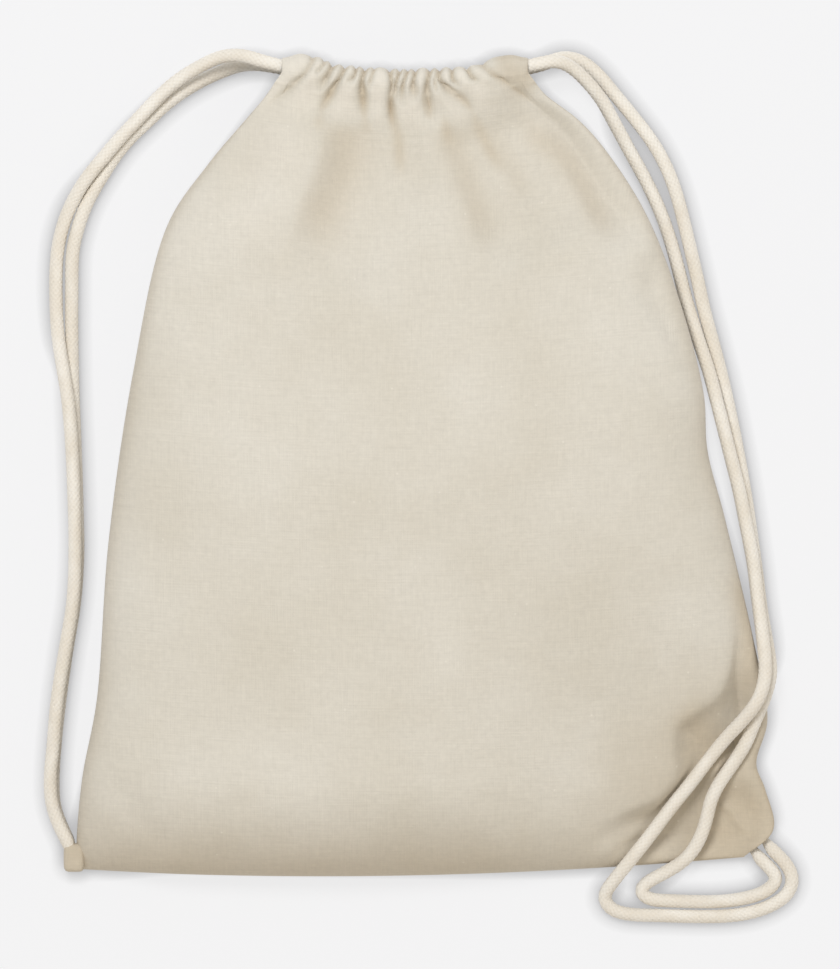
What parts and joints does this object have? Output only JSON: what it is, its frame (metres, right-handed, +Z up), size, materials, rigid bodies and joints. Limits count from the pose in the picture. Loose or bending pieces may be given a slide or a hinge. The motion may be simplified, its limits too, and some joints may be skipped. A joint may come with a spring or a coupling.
{
  "type": "drawstring backpack",
  "caption": "Natural cotton drawstring backpack, lightly filled and lying on its back, with a gathered mouth and thick braided cords that serve as shoulder straps.",
  "frame": {"origin": "middle of the bag's footprint without its free cords, on the surface that it lies on", "axes": "+X across the bag, +Y from its bottom edge to its mouth, +Z up out of its front"},
  "size_m": [0.3809, 0.4399, 0.0558],
  "materials": {
    "cotton": "unbleached plain weave cotton",
    "cord": "braided cotton cord"
  },
  "bodies": {
    "sack": {"front_panel": "cotton", "back_panel": "cotton", "back_channel": "cotton", "left_side_seam": "cotton", "right_side_seam": "cotton", "bottom_seam": "cotton", "left_corner_tab": "cotton", "right_corner_tab": "cotton", "left_cord_back_run": "cord", "right_cord_back_run": "cord", "left_cord_turn": "cord", "right_cord_turn": "cord", "left_lead_front": "cord", "left_lead_back": "cord", "right_strap_front": "cord", "right_strap_back": "cord"},
    "front_lip": {"front_channel": "cotton", "left_cord_front_run": "cord", "right_cord_front_run": "cord"},
    "left_strap": {"left_strap_front": "cord", "left_strap_back": "cord"},
    "right_loop": {"right_loop_front": "cord", "right_loop_back": "cord"}
  },
  "joints": [
    {"name": "mouth_lift", "type": "hinge", "parent": "sack", "child": "front_lip", "pos_m": [-0.0085, 0.18, 0.027], "axis": [1, 0, 0], "range_deg": [0, 40]},
    {"name": "left_strap_swing", "type": "hinge", "parent": "sack", "child": "left_strap", "pos_m": [-0.18, -0.19, 0.0116], "axis": [0.1386, 0.9903, -0.0005], "range_deg": [0, 70]},
    {"name": "right_loop_swing", "type": "hinge", "parent": "sack", "child": "right_loop", "pos_m": [0.187, -0.196, 0.0017], "axis": [-0.1404, 0.9776, 0.1567], "range_deg": [0, 55]}
  ]
}
